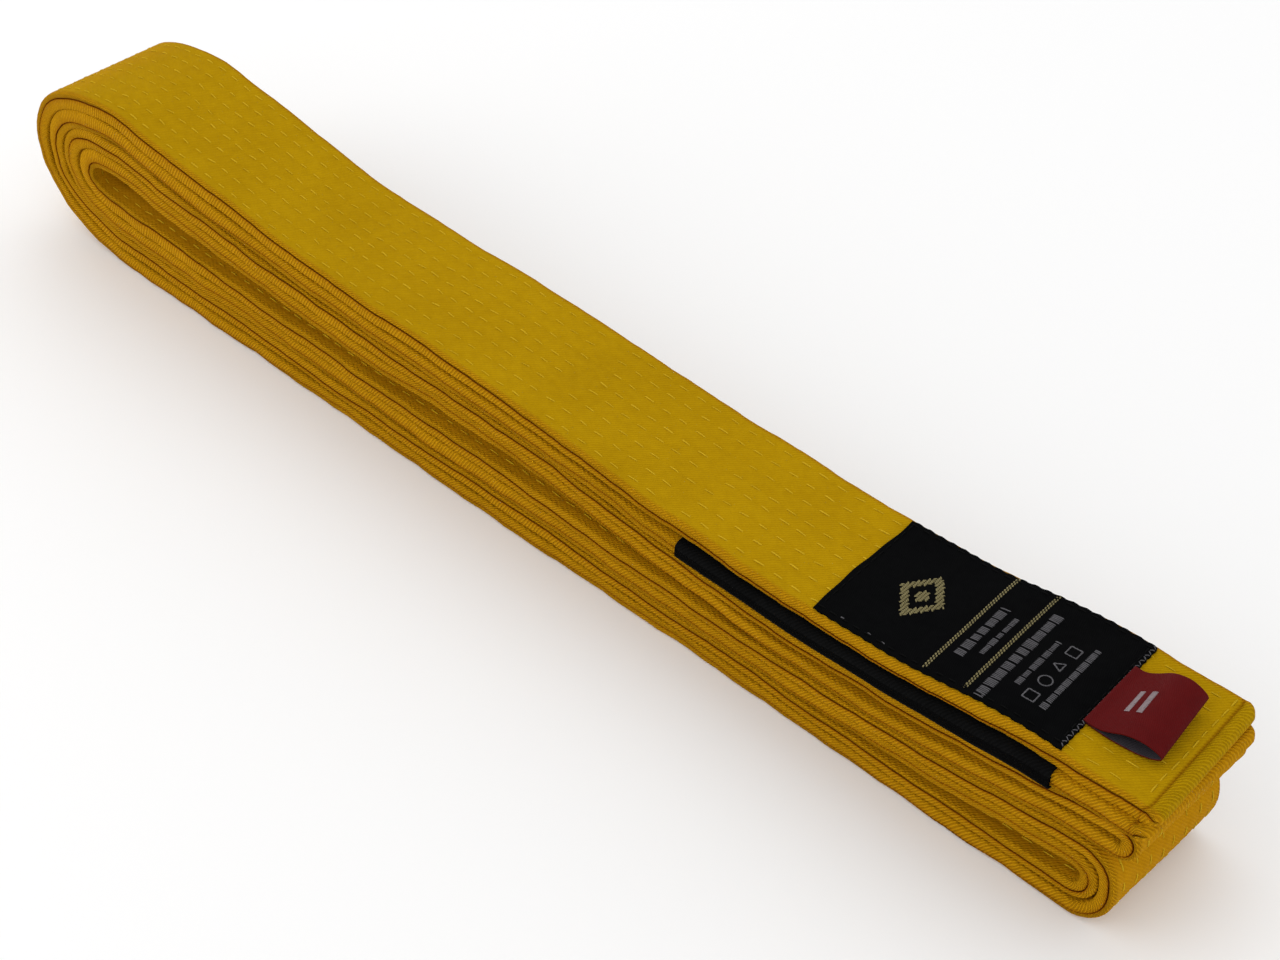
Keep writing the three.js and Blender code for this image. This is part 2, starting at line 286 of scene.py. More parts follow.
# Cloth section: thread rows, seam and corners
cloth = {
    "halfWidth": 18.95, "halfHeight": 1.83, "rowDip": 0.11, "rowWidth": 0.4, "crown": 0.07,
    "grooveDepth": 0.5, "lip": 0.16, "turnStep": 0.13, "hemBand": 3.3, "hemSwell": 0.22,
    "hemGroove": 0.5, "hemStitch": 4.9, "tipRound": 1.7, "corner": 2.4,
    "tipSteps": np.array([0, 0.05, 0.13, 0.26, 0.42, 0.6, 0.8, 1.0, 1.2, 1.4, 1.6, 1.8]),
}
rowPlaces = np.linspace(15.7, 1.85, 4)
rowPlaces = np.concatenate([rowPlaces, -rowPlaces[::-1]])
betweenRows = (rowPlaces[1:] + rowPlaces[:-1]) / 2
acrossTop = [rowPlaces, rowPlaces - 0.55, rowPlaces + 0.55, betweenRows, [17.4, -17.4]]
acrossTop = np.sort(np.concatenate(acrossTop))[::-1]


def bell(value, width):
    return np.exp(-((value / width) ** 2))


def quiltAt(across):
    away = np.min(np.abs(across[..., None] - rowPlaces), axis=-1)
    return cloth["crown"] * (1 - bell(away, 1.1)) - cloth["rowDip"] * bell(away, cloth["rowWidth"])


def highOf(along, side):
    puff = np.interp(along, arcs, facePuff if side > 0 else backPuff)
    return cloth["halfHeight"] + puff


def clothWave(along, across, side):
    rng = np.random.default_rng(11 if side > 0 else 12)
    total = np.zeros(np.broadcast(along, across).shape)
    for wavelength, size in ((61, 0.07), (37, 0.05), (23, 0.04), (15, 0.03), (9.5, 0.02)):
        slant = rng.uniform(-0.6, 0.6)
        swing = 2 * np.pi * (along + slant * across) / wavelength + rng.uniform(0, 6.28)
        total = total + size * np.sin(swing)
    return total


def seamAt(along):
    drift = ripple(21, along, [(310, 0.35), (127, 0.3), (58, 0.14), (19, 0.05)])
    runEnd = marks["run1"][1]
    onTop = smoothValue([
        (0, 1.25), (14, 1.0), (34, -0.5), (75, -0.7), (120, -0.2), (165, 0.6), (225, 1.2),
        (262, 1.25), (310, 1.3), (runEnd + 40, 0.7),
    ])
    fade = unit((along - runEnd) / 60)
    return np.clip(onTop(along) * (1 - fade) + (0.45 + drift) * fade + 0.12 * drift, -1.0, 1.28)


def tipShape(along):
    fromTip = np.minimum(along, beltLength - along)
    share = unit(fromTip / cloth["tipRound"])
    thin = np.sqrt(unit(1 - (1 - share) ** 2))
    swell = cloth["hemSwell"] * bell(fromTip - 1.7, 1.3)
    groove = cloth["hemGroove"] * bell(fromTip - cloth["hemBand"], 0.42)
    return thin, swell - groove, share


def ringAt(along):
    along = np.atleast_1d(np.asarray(along, float))
    thin, hem, tipShare = tipShape(along)
    half = cloth["halfWidth"]
    spread = (highOf(along, 1) + highOf(along, -1)) / (2 * cloth["halfHeight"])
    shift = (highOf(along, 1) - highOf(along, -1)) / 2
    seam = (seamAt(along) * spread + shift) * np.clip(tipShare, 0.2, 1)
    high, low = highOf(along, 1), highOf(along, -1)
    lowest = np.minimum(seam + 0.3, high - 0.22)
    ring = [
        (half - cloth["grooveDepth"], seam), (half - 0.1, seam + 0.12), (half + 0.05, lowest),
        (half + 0.06, (lowest + high - 0.5) / 2),
        (half - 0.03, np.maximum(high - 0.45, np.minimum(seam + 0.34, high - 0.18))),
        (half - 0.22, high - 0.16), (half - 0.6, high - 0.03),
    ]
    for a in acrossTop:
        ring.append((a, high + quiltAt(np.array(a)) + clothWave(along, a, 1) + hem))
    ring += [
        (0.6 - half, high - 0.03), (0.22 - half, high - 0.25), (0.02 - half, high - 0.75),
        (-half - 0.06, (high - low) / 2), (0.02 - half, 0.75 - low), (0.22 - half, 0.25 - low),
        (0.6 - half, 0.03 - low),
    ]
    for a in acrossTop[::-1]:
        ring.append((a, -low - quiltAt(np.array(a)) + clothWave(along, a, -1) - hem))
    ring += [
        (half - 0.6, 0.03 - low), (half - 0.22, 0.17 - low), (half - 0.02, 0.5 - low),
        (half + 0.08, (0.5 - low + seam - cloth["lip"] - 0.2) / 2),
        (half + cloth["lip"], seam - 0.34), (half + 0.05, seam - 0.12),
    ]
    across = np.stack([np.full(along.shape, a) for a, _ in ring], 1)
    up = np.stack([b for _, b in ring], 1)
    edge = unit((np.abs(across) - 15) / 4) * np.sign(across)
    sway = ripple(31, along, [(31, 0.12), (13, 0.07), (7.3, 0.05), (3.9, 0.04)])
    across = across + edge * np.where(across > 0, sway[:, None], -sway[:, None] * 0.8)
    across = across * (1 - 0.014 * (1 - tipShare[:, None]) ** 2)
    limit = (half - 0.62) * (1 - 0.014)
    shut = (tipShare <= 0)[:, None]
    across = np.where(shut, np.clip(across, -limit, limit), across)
    return across, up * thin[:, None]


def placeAt(along, across, up):
    along = np.asarray(along, float)
    x, z = (np.interp(along, arcs, centre[:, k]) for k in range(2))
    nx, nz = (np.interp(along, arcs, outward[:, k]) for k in range(2))
    aside = asideAt(along)
    shape = np.broadcast(along, across, up).shape
    out = np.empty(shape + (3,))
    skewing = unit((x - route["skewStart"]) / route["skewLength"]) ** 2
    skew = skewing * -route["skewShare"] * across * (along > marks["run1"][1])
    z = z + nearRise(x) * (z / route["stackHeight"]) * (across / (route["width"] / 2))
    out[..., 0] = x + nx * up + skew - route["bundle"] / 2
    out[..., 1] = -(across + aside)
    out[..., 2] = np.maximum(z + nz * up, 0.01)
    return out / 1000


def onCloth(along, across, lift, side=1):
    thin, hem, _ = tipShape(along)
    surface = highOf(along, side) + quiltAt(across) + side * clothWave(along, across, side) + hem
    return placeAt(along, across, side * (surface * thin + lift))


def cornerPull(across):
    radius = cloth["corner"]
    into = unit((np.abs(across) - (cloth["halfWidth"] - radius)) / radius)
    return radius * (1 - np.sqrt(1 - into**2))


def placeRings(along, across, up):
    fromTip = np.minimum(along, beltLength - along)[:, None]
    fade = unit(1 - fromTip / 9) ** 2
    pull = cornerPull(across) * fade * np.where(along < beltLength / 2, 1, -1)[:, None]
    return placeAt(along[:, None] + pull, across, up)


def addObject(name, data):
    made = bpy.data.objects.new(name, data)
    bpy.context.scene.collection.objects.link(made)
    return made


def newPiece(name, points, faces, uvs):
    mesh = bpy.data.meshes.new(name)
    mesh.from_pydata(points.tolist(), [], faces.tolist())
    corners = np.array([list(face) for face in faces])
    a, b, c = (points[corners[:, k]] for k in range(3))
    volume = np.einsum("ij,ij->i", a, np.cross(b, c)).sum()
    if corners.shape[1] == 4:
        d = points[corners[:, 3]]
        volume += np.einsum("ij,ij->i", a, np.cross(c, d)).sum()
    if volume < 0:
        mesh.flip_normals()
    layer = mesh.uv_layers.new(name="clothUV")
    order = np.zeros(len(mesh.loops), np.int32)
    mesh.loops.foreach_get("vertex_index", order)
    layer.data.foreach_set("uv", uvs[order].astype(np.float32).ravel())
    mesh.polygons.foreach_set("use_smooth", np.ones(len(mesh.polygons), bool))
    return addObject(name, mesh)


def gridFaces(rows, columns, closed):
    across = columns if closed else columns - 1
    i, j = np.meshgrid(np.arange(rows - 1), np.arange(across), indexing="ij")
    nextJ = (j + 1) % columns
    quad = [i * columns + j, i * columns + nextJ, (i + 1) * columns + nextJ, (i + 1) * columns + j]
    return np.stack(quad, -1).reshape(-1, 4)


def stationsBetween(start, end, step):
    places = [start]
    while places[-1] < end - 1e-6:
        s = places[-1]
        curve = float(np.interp(s + step / 2, arcs, turning))
        near = min(s, beltLength - s)
        fine = 0.2 if near < 1.8 else 0.3 if near < 5.6 else step
        places.append(min(s + min(step, fine, cloth["turnStep"] / max(curve, 1e-4)), end))
    tipSteps = cloth["tipSteps"]
    if beltLength - end < 1e-6:
        places = [p for p in places if beltLength - p > 1.8] + list(beltLength - tipSteps)
    if start < 1e-6:
        places = [p for p in places if p > 1.8] + list(tipSteps)
    return np.array(sorted(set(places)))


def closeEnds(piece, rows, columns, capStart, capEnd):
    bm = bmesh.new()
    bm.from_mesh(piece.data)
    bm.verts.ensure_lookup_table()
    for wanted, first in ((capStart, 0), (capEnd, (rows - 1) * columns)):
        if not wanted:
            continue
        ring = [bm.verts[first + k] for k in range(columns)]
        for k in range(columns):
            edge = bm.edges.get((ring[k], ring[(k + 1) % columns]))
            edge.smooth = False
        face = bm.faces.new(ring)
        face.smooth = False
        face.normal_update()
        inside = bm.verts[columns if first == 0 else first - columns].co - ring[0].co
        if face.normal.dot(inside) > 0:
            face.normal_flip()
    bmesh.ops.remove_doubles(bm, verts=bm.verts, dist=2e-6)
    bmesh.ops.dissolve_degenerate(bm, edges=bm.edges, dist=1e-7)
    bm.to_mesh(piece.data)
    bm.free()


def uvGrid(along, across):
    return np.stack(np.broadcast_arrays(along[:, None], across[None, :]), -1) / 1000


def makeCloth(name, start, end, step):
    along = stationsBetween(start, end, step)
    across, up = ringAt(along)
    points = placeRings(along, across, up)
    rows, columns = across.shape
    middle = ringAt([beltLength * 0.4])
    uvs = uvGrid(along, lengthsOf(np.column_stack([middle[0][0], middle[1][0]])))
    faces = gridFaces(rows, columns, True)
    piece = newPiece(name, points.reshape(-1, 3), faces, uvs.reshape(-1, 2))
    # A ring has 7 points up from the seam, the top's, 7 down the far edge, the back's and 6 more
    count = len(acrossTop)
    edgeShare, seamShare = np.zeros(columns), np.zeros(columns)
    edgeShare[[*range(7), *range(count + 7, count + 14), *range(columns - 6, columns)]] = 1
    # Painted shade: the seam share gives the seam groove's points, and the groove share below gives
    # the hem groove's points, a dark red-brown tint for the shadow in these grooves
    seamShare[[0, 1, 2, columns - 1, columns - 2]] = (1, 0.75, 0.2, 0.85, 0.3)
    fromTip = np.minimum(along, beltLength - along)[:, None]
    band = np.clip(cloth["hemBand"] + 0.3 - fromTip, 0, 0.3) / 0.3
    groove = 0.6 * bell(fromTip - cloth["hemBand"], 0.3)
    # Painted bounce shade: every point except those on the top face of the upper run and its fold
    # gets a warmer tint, for light bounced between the yellow layers into faces in shade
    paintedBounce = np.ones((rows, columns))
    outside = unit((marks["run1"][1] + 45 - along) / 30)[:, None]
    paintedBounce[:, 7:7 + count] *= 1 - outside
    for key, value in (("edgeShare", np.maximum(edgeShare[None], band * 0.7)),
                       ("seamShare", np.maximum(seamShare[None], groove)),
                       ("paintedBounceShare", paintedBounce)):
        layer = piece.data.attributes.new(key, "FLOAT", "POINT")
        layer.data.foreach_set("value", value.astype(np.float32).ravel())
    closeEnds(piece, rows, columns, start > 1e-6, beltLength - end > 1e-6)
    print(name, "stations", rows)
    return piece


# Rows of stitching: one short twisted dash of thread per stitch
stitching = {
    "pitch": 5.3, "length": 2.95, "halfWidth": 0.19, "rise": 0.15, "sink": 0.1, "jitter": 0.1,
}


def threadDashes(name, along, across, angle, lengths, surface, setting=stitching, seed=5):
    rng = np.random.default_rng(seed)
    count = len(along)
    angle = np.broadcast_to(angle, count) + rng.normal(0, 0.03, count)
    lengths = np.broadcast_to(lengths, count)
    bulk = rng.uniform(0.88, 1.14, count) * setting["halfWidth"]
    rise, sink = setting["rise"], setting["sink"]
    steps = [(-0.5, -sink, 0.55), (-0.36, rise * 0.5, 0.95), (0, rise * 0.72, 1),
             (0.36, rise * 0.5, 0.95), (0.5, -sink, 0.55)]
    points = np.empty((count, 5, 4, 3))
    uvs = np.empty((count, 5, 4, 2))
    for k, (place, lift, swell) in enumerate(steps):
        run = lengths * place
        for m, (sideways, upwards) in enumerate([(0, 1), (-1, 0), (0, -1), (1, 0)]):
            offset = sideways * bulk * swell
            a = along + np.cos(angle) * run - np.sin(angle) * offset
            b = across + np.sin(angle) * run + np.cos(angle) * offset
            points[:, k, m] = surface(a, b, lift + upwards * bulk * swell * 0.75)
            uvs[:, k, m, 0] = run / 1000
            uvs[:, k, m, 1] = (along + m * 0.25) / 1000
    base = np.arange(count)[:, None, None] * 20
    ends = np.array([[3, 2, 1, 0], [16, 17, 18, 19]])
    faces = np.concatenate([gridFaces(5, 4, True), ends])[None] + base
    return newPiece(name, points.reshape(-1, 3), faces.reshape(-1, 4), uvs.reshape(-1, 2))


def labelFace(along, across, lift):
    return onCloth(along, across, lift, 1)


def innerFace(along, across, lift):
    return onCloth(along, across, lift, -1)


def makeStitches(name, start, end, surface):
    rng = np.random.default_rng(41 if surface is labelFace else 42)
    found = []
    for row in rowPlaces:
        along = np.arange(rng.uniform(2, 7), beltLength - 3, stitching["pitch"])
        along = along + 0.5 * np.sin(along / rng.uniform(60, 90)) + rng.normal(0, 0.16, len(along))
        drift = ripple(int(300 + row * 7), along, [(230, 0.14), (71, 0.09)])
        length = stitching["length"] * rng.uniform(0.86, 1.14, len(along))
        shift = row + drift + rng.normal(0, stitching["jitter"] * 0.6, len(along))
        hemmed = np.minimum(along, beltLength - along) > cloth["hemStitch"] + 2.2
        wanted = (along - length / 2 > start) & (along + length / 2 < end) & hemmed
        found.append(np.stack([along, shift, length])[:, wanted])
    along, across, length = np.concatenate(found, 1)
    angle = rng.normal(0, 0.06, len(along))
    print(name, "stitches", len(along))
    return threadDashes(name, along, across, angle, length, surface)


def joinPieces(name, pieces):
    bpy.ops.object.select_all(action="DESELECT")
    for piece in pieces:
        piece.select_set(True)
    bpy.context.view_layer.objects.active = pieces[0]
    bpy.ops.object.join()
    piece = bpy.context.view_layer.objects.active
    piece.name = name
    piece.data.name = name
    piece.select_set(False)
    return piece


def makeHemStitches(name, fromStart):
    rng = np.random.default_rng(51 if fromStart else 52)
    across = np.arange(-16.2, 16.3, 3.7)
    pieces = []
    for k, surface in enumerate((labelFace, innerFace)):
        line = cloth["hemStitch"] + rng.normal(0, 0.07, len(across)) + 0.015 * across
        along = line if fromStart else beltLength - line
        lengths = 2.7 * rng.uniform(0.9, 1.1, len(across))
        spread = across + rng.normal(0, 0.1, len(across))
        pieces.append(threadDashes(name + str(k), along, spread, math.pi / 2, lengths, surface))
    return joinPieces(name, pieces)


# Closed panel between an upper and a lower grid of points
def makePanel(name, top, bottom, uvs):
    rows, columns = top.shape[:2]
    points = np.concatenate([top.reshape(-1, 3), bottom.reshape(-1, 3)])
    upper = gridFaces(rows, columns, False)
    lower = upper[:, ::-1] + rows * columns
    index = np.arange(rows * columns).reshape(rows, columns)
    border = np.concatenate([index[0, :-1], index[:-1, -1], index[-1, :0:-1], index[:0:-1, 0]])
    following = np.roll(border, -1)
    shift = rows * columns
    rim = np.stack([following, border, border + shift, following + shift], 1)
    both = np.concatenate([uvs.reshape(-1, 2)] * 2)
    return newPiece(name, points, np.concatenate([upper, lower, rim]), both)


def edgeSpaced(low, high, step):
    edge = np.array([0, 0.05, 0.12, 0.22, 0.35, 0.6])
    middle = np.linspace(low + 1.0, high - 1.0, int((high - low) / step))
    return np.concatenate([low + edge, middle, high - edge[::-1]])


# Woven label, sewn down round its edge
label = {
    "start": 286.0, "end": 348.0, "near": 17.9, "far": -18.1, "thickness": 0.62, "seat": 0.05,
    "scallop": 0.16, "scallopPitch": 3.1, "sewingInset": 1.3, "sewingDip": 0.16,
    "goldLines": (314.9, 324.9), "strandGap": 0.52,
    "motifAt": (302.0, 0.0), "motifSize": (5.7, 7.75), "motifPitch": 0.72, "outlineSize": 1.45,
    "squareSize": 1.85, "cut": (0.036, 0.062),
}
labelThreads = {
    "sewing": {"halfWidth": 0.2, "rise": 0.24, "sink": 0.2},
    "fine": {"halfWidth": 0.2, "rise": 0.12, "sink": 0.1},
    "edging": {"halfWidth": 0.13, "rise": 0.12, "sink": 0.1},
    "marks": {"halfWidth": 0.17, "rise": 0.09, "sink": 0.08},
}
onTopRun = arcs < marks["run1"][1]
tipX = route["upperTip"]


def alongOf(x):
    return np.interp(tipX - np.asarray(x, float), tipX - centre[onTopRun, 0], arcs[onTopRun])


labelLow, labelHigh = float(alongOf(label["end"])), float(alongOf(label["start"]))


def labelRise(along, across):
    inset = np.minimum.reduce([
        along - labelLow, labelHigh - along, label["near"] - across, across - label["far"],
    ])
    inset = np.maximum(inset, 0)
    into = 1 - unit(inset / 0.4)
    edge = 0.36 * (1 - np.sqrt(unit(1 - into**2)))
    dip = label["sewingDip"] * bell(inset - label["sewingInset"], 0.5)
    pillow = 0.1 * unit(inset / 5)
    return label["thickness"] - edge - dip + pillow


def labelBase(along, across):
    return highOf(along, 1) + cloth["crown"] + clothWave(along, across, 1) + label["seat"]


def onLabel(along, across, lift):
    return placeAt(along, across, labelBase(along, across) + labelRise(along, across) + lift)


def makeLabel():
    along = edgeSpaced(labelLow, labelHigh, 0.8)[:, None]
    across = edgeSpaced(label["far"], label["near"], 0.8)[None, :]
    along, across = np.broadcast_arrays(along, across)
    base = labelBase(along, across)
    up = base + labelRise(along, across)
    wave = 2 * np.pi / label["scallopPitch"]
    toSide = unit((np.abs(across) - 16) / 2) * np.sign(across)
    spread = across + toSide * label["scallop"] * np.cos(along * wave)
    toTip = unit(1 - (along - labelLow) / 1.5)
    toFold = unit(1 - (labelHigh - along) / 2.5)
    run = along + toTip * 0.16 * np.sin(across * 2 * np.pi / 1.3)
    run = run + toFold * (0.28 * np.sin(across / 5.1 + 1) + 0.1 * np.sin(across / 1.7))
    top = placeAt(run, spread, up)
    bottom = placeAt(run, spread, np.minimum(base, up - 0.15))
    return makePanel("labelCloth", top, bottom, np.stack([run, spread], -1) / 1000)


def makeLabelSewing():
    inset = label["sewingInset"]
    run = np.arange(labelLow + 1.6, labelHigh - 1.5, label["scallopPitch"])
    side = np.arange(label["far"] + 2.4, label["near"] - 2, 2.7)
    rows = [(run, label["near"] - inset, 0), (run, label["far"] + inset, 0)]
    rows += [(labelLow + inset, side, math.pi / 2), (labelHigh - inset, side, math.pi / 2)]
    rows = [np.broadcast_arrays(*row) for row in rows]
    along, across, angle = (np.concatenate(column) for column in zip(*rows))
    return threadDashes("labelSewing", along, across, angle, 2.15, onLabel,
                        labelThreads["sewing"], 61)


def makeLabelEdging():
    across = np.arange(label["far"] + 0.7, label["near"] - 0.6, 0.95)
    angle = np.where(np.arange(len(across)) % 2, 0.62, -0.62)
    return threadDashes("labelEdging", np.full(len(across), labelLow + 0.55), across, angle,
                        1.15, onLabel, labelThreads["edging"], 62)


def makeGoldLines():
    across = np.arange(label["far"] + 0.9, label["near"] - 0.8, 0.86)
    found = []
    for x in label["goldLines"]:
        for k in (-0.5, 0.5):
            place = float(alongOf(x)) + k * label["strandGap"]
            found.append((np.full(len(across), place), across + k * 0.43))
    along, spread = (np.concatenate(column) for column in zip(*found))
    return threadDashes("labelGoldLines", along, spread, math.pi / 2 + 0.35, 0.62, onLabel,
                        labelThreads["fine"], 63)


def makeMotif():
    centreX, centreA = label["motifAt"]
    halfX, halfA = label["motifSize"]
    pitch = label["motifPitch"]
    x, a = np.meshgrid(np.arange(-6, 6.1, pitch), np.arange(-8.1, 8.2, 0.5), indexing="ij")
    size = np.abs(x) / halfX + np.abs(a) / halfA
    wanted = ((size < 1) & (size > 0.66)) | (size < 0.3)
    column = np.round(x / pitch).astype(int)
    angle = np.where(column % 2, 0.75, -0.75)[wanted]
    along = alongOf(centreX + x[wanted])
    return threadDashes("labelMotif", along, centreA + a[wanted], angle, 0.92, onLabel,
                        labelThreads["fine"], 64)


# Plain grey woven bars and outlines where a label carries its care notes
greyColumns = [
    (316.8, 320.1, 9.5, -7.6, 0.7), (321.1, 322.9, 6.6, -6.6, 0.5),
    (326.8, 330.0, 17.0, -12.3, 0.7), (331.6, 333.4, 9.5, -5.7, 0.5),
    (338.8, 341.0, 11.9, -8.5, 0.5),
]
greyOutlines = [(336.3, 10.6, 4), (336.3, 5.4, 24), (336.3, 0.2, 3), (336.3, -5.0, 4)]
greySpecks = [(293.1, 16.3), (300.2, 16.3), (304.0, 16.4)]


def makeGreyMarks():
    rng = np.random.default_rng(71)
    rows = []
    for low, high, near, far, gap in greyColumns:
        place = near
        while place > far:
            block = rng.uniform(1.3, 2.9)
            tall = (high - low) * rng.uniform(0.62, 0.9)
            for a in np.arange(place, max(place - block, far), -0.44):
                rows.append((low + (high - low) * 0.45, a, 0, tall))
            place -= block + gap
    for x, a, sides in greyOutlines:
        turn = 2 * np.pi * (np.arange(sides) + 0.5) / sides
        size = label["squareSize"] if sides == 4 else label["outlineSize"]
        corners = np.column_stack([x + size * np.cos(turn), a + size * np.sin(turn)])
        for first, second in zip(corners, np.roll(corners, -1, 0)):
            reach = float(np.linalg.norm(second - first))
            share = max(1, round(reach / 0.8))
            for k in range(share):
                spot = first + (second - first) * (k + 0.5) / share
                heading = math.atan2(second[1] - first[1], -(second[0] - first[0]))
                rows.append((spot[0], spot[1], heading, reach / share * 1.1))
    rows += [(x, a, 0, 1.0) for x, a in greySpecks]
    x, a, angle, length = np.array(rows).T
    return threadDashes("labelGreyMarks", alongOf(x), a, angle, length, onLabel,
                        labelThreads["marks"], 65)


# Black rank bar, a sleeve of cloth round the lower end
bar = {
    "gap": 0.07, "thickness": 0.5, "endRound": 0.3, "stitchInset": 2.2, "stitchPitch": 3.4,
    "corner": 0.9, "overWidth": 0.2, "overHeight": 0.12, "cut": (0.0865, 0.1),
}
barHigh, barLow = (arcAt("run2", route[key]) for key in ("barEnd", "barStart"))


def barRing(outside):
    lift = bar["gap"] + (bar["thickness"] if outside else 0)
    half = cloth["halfWidth"] + bar["overWidth"] + lift
    high = cloth["halfHeight"] + bar["overHeight"] + lift
    corner = bar["corner"] + lift
    ring = []
    for a, b, first in ((1, 1, 0), (-1, 1, 90), (-1, -1, 180), (1, -1, 270)):
        for degrees in (0, 22.5, 45, 67.5, 90):
            angle = math.radians(first + degrees)
            ring.append(((half - corner) * a + corner * math.cos(angle),
                         (high - corner) * b + corner * math.sin(angle)))
        if a == b:
            flat = np.linspace(half - corner, corner - half, 26)[1:-1]
            ring += [(side * a, high * b) for side in flat]
    return np.array(ring)


def makeBar():
    inset = np.array([0, 0.05, 0.14, 0.3, 0.6])
    along = np.concatenate([barLow + inset, np.linspace(barLow + 1.5, barHigh - 1.5, 64),
                            barHigh - inset[::-1]])
    into = 1 - unit(np.minimum(along - barLow, barHigh - along) / bar["endRound"])
    drop = 0.2 * (1 - np.sqrt(1 - into**2))
    outer, inner = barRing(True), barRing(False)
    uvs = uvGrid(along, lengthsOf(outer)).reshape(-1, 2)
    points = []
    for k, ring in enumerate((outer, inner)):
        shrink = drop[:, None] if k == 0 else 0
        wave = ripple(81, along, [(47, 0.05), (19, 0.04), (8, 0.03)])[:, None]
        across = ring[None, :, 0] - np.sign(ring[None, :, 0]) * shrink * (k == 0)
        up = ring[None, :, 1] - np.sign(ring[None, :, 1]) * shrink + wave
        up = up + np.where(up > 0, highOf(along, 1)[:, None], -highOf(along, -1)[:, None])
        up = up - np.where(up > 0, cloth["halfHeight"], -cloth["halfHeight"])
        points.append(placeAt(along[:, None], across, up))
    rows, columns = points[0].shape[:2]
    shift = rows * columns
    outerFaces = gridFaces(rows, columns, True)
    innerFaces = outerFaces[:, ::-1] + shift
    j = np.arange(columns)
    nextJ = (j + 1) % columns
    last = (rows - 1) * columns
    startRim = np.stack([nextJ, j, j + shift, nextJ + shift], 1)
    endRim = np.stack([j + last, nextJ + last, nextJ + last + shift, j + last + shift], 1)
    faces = np.concatenate([outerFaces, innerFaces, startRim, endRim])
    return newPiece("rankBar", np.concatenate([p.reshape(-1, 3) for p in points]), faces,
                    np.concatenate([uvs, uvs]))


def makeBarStitches():
    across = np.arange(-16.5, 16.6, bar["stitchPitch"])
    inset = bar["stitchInset"]
    along = np.repeat([barLow + inset, barHigh - inset], len(across))
    spread = np.tile(across, 2)
    lift = bar["gap"] + bar["thickness"]
    pieces = []
    for k, side in enumerate((1, -1)):
        def face(a, b, height, side=side):
            return placeAt(a, b, side * (lift + highOf(a, side) + height))
        pieces.append(threadDashes("rankBarSewing" + str(k), along, spread, math.pi / 2, 2.4,
                                   face, stitching, 66 + k))
    return joinPieces("rankBarSewing", pieces)


# Satin size tag, folded to a loop that leans towards the tip
tag = {
    "start": 348.15, "width": 19.0, "aside": -0.6, "thickness": 0.32, "seat": 0.24,
    "outline": [
        (-0.9, 0.0), (2.0, 0.0), (6.6, 0.0), (11.4, 0.38), (14.2, 1.8), (15.9, 3.7), (14.5, 5.1),
        (11.4, 5.9), (8.0, 4.85), (4.3, 2.15), (1.7, 0.62), (-0.9, 0.5),
    ],
    "nearHeight": 0.68, "lean": -1.2, "leanLength": 17.0, "rows": 64, "cut": (0.019, 0.0385),
    "markBars": ((6.3, -3.8, 2.4), (9.6, -3.8, 2.4)),
    "markThread": {"halfWidth": 0.19, "rise": 0.1, "sink": 0.06},
}


def tagOutline(steps):
    outline = np.array(tag["outline"])
    knots = np.arange(len(outline), dtype=float)
    curves = [smoothValue(list(zip(knots, outline[:, k]))) for k in range(2)]
    fine = np.linspace(0, len(outline) - 1, 400)
    line = np.column_stack([curve(fine) for curve in curves])
    length = lengthsOf(line)
    even = np.linspace(0, length[-1], steps)
    return np.column_stack([np.interp(even, length, line[:, k]) for k in range(2)]), length[-1]


# The outline leans, and is lower at its near side
def tagPoint(line, tangent, across, lift):
    share = (across - tag["aside"]) / tag["width"] + 0.5
    flat = unit((line[..., 1] - 0.5) / 0.8)
    scale = 1 - flat * (1 - tag["nearHeight"]) * unit(share) ** 1.3
    tangent = tangent / np.linalg.norm(tangent, axis=-1)[..., None]
    lean = tag["lean"] * unit(line[..., 0] / tag["leanLength"]) * (0.5 - share)
    x = tag["start"] + line[..., 0] + lean + tangent[..., 1] * lift
    high = line[..., 1] * scale - tangent[..., 0] * lift
    along = alongOf(x)
    low = highOf(along, 1) + tag["seat"] + tag["thickness"] / 2
    return placeAt(along, across, low + high)


def makeTag():
    rows = tag["rows"]
    line, length = tagOutline(rows)
    across = edgeSpaced(tag["aside"] - tag["width"] / 2, tag["aside"] + tag["width"] / 2, 0.9)
    grid = np.broadcast_to(line[:, None, :], (rows, len(across), 2))
    spread = np.broadcast_to(across, (rows, len(across)))
    swing = 0.16 * np.sin(np.linspace(0, 9, rows))[:, None]
    swing = swing * np.sign(spread) * (np.abs(spread) > 8)
    tangent = np.gradient(grid, axis=0)
    outer = tagPoint(grid, tangent, spread + swing, tag["thickness"] / 2)
    inner = tagPoint(grid, tangent, spread + swing, -tag["thickness"] / 2)
    piece = makePanel("sizeTag", outer, inner, uvGrid(np.linspace(0, length, rows), across))
    panelFaces = (rows - 1) * (len(across) - 1)
    for face in piece.data.polygons[panelFaces:2 * panelFaces]:
        face.material_index = 1
    print("tag flat length mm", round(float(length), 1))
    return piece


def makeTagMarks():
    line, length = tagOutline(400)
    places = np.linspace(0, length, 400)

    def face(along, across, lift):
        spot = np.stack([np.interp(along, places, line[:, k]) for k in range(2)], -1)
        ahead = np.stack([np.interp(along + 0.2, places, line[:, k]) for k in range(2)], -1)
        return tagPoint(spot, ahead - spot, across, tag["thickness"] / 2 + lift)

    rows = []
    for back, low, high in tag["markBars"]:
        rows += [(length - back, across) for across in np.arange(low, high, 0.36)]
    along, across = np.array(rows).T
    return threadDashes("sizeTagMarks", along, across, 0.0, 1.5, face, tag["markThread"], 68)


